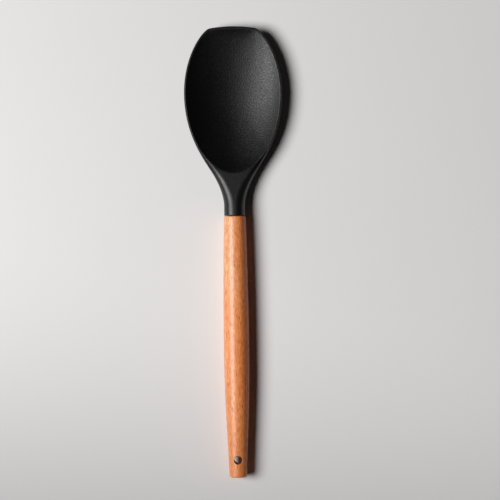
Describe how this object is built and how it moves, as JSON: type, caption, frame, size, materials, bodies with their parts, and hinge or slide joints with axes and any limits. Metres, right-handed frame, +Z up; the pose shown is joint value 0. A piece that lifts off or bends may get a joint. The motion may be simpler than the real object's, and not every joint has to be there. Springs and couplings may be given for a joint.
{
  "type": "silicone spatula",
  "caption": "Spoon-shaped silicone spatula with a shallow bowl, a straight front edge and a turned wooden handle with a hanging hole.",
  "frame": {"origin": "middle of the bounding box in plan, at the height of the table that the tool lies on", "axes": "+Y along the handle's axis towards the head's tip, +Z up out of the bowl, +X to the right"},
  "size_m": [0.0716, 0.33, 0.0186],
  "materials": {
    "silicone": "matte black silicone with a fine moulded grain",
    "nylon": "dark glass-filled nylon",
    "glue": "cured two-part glue",
    "beech": "satin-varnished beech with short dark flecks"
  },
  "bodies": {
    "root": {"silicone_head": "silicone", "nylon_core": "nylon", "tang_glue": "glue", "wooden_handle": "beech"}
  },
  "joints": []
}
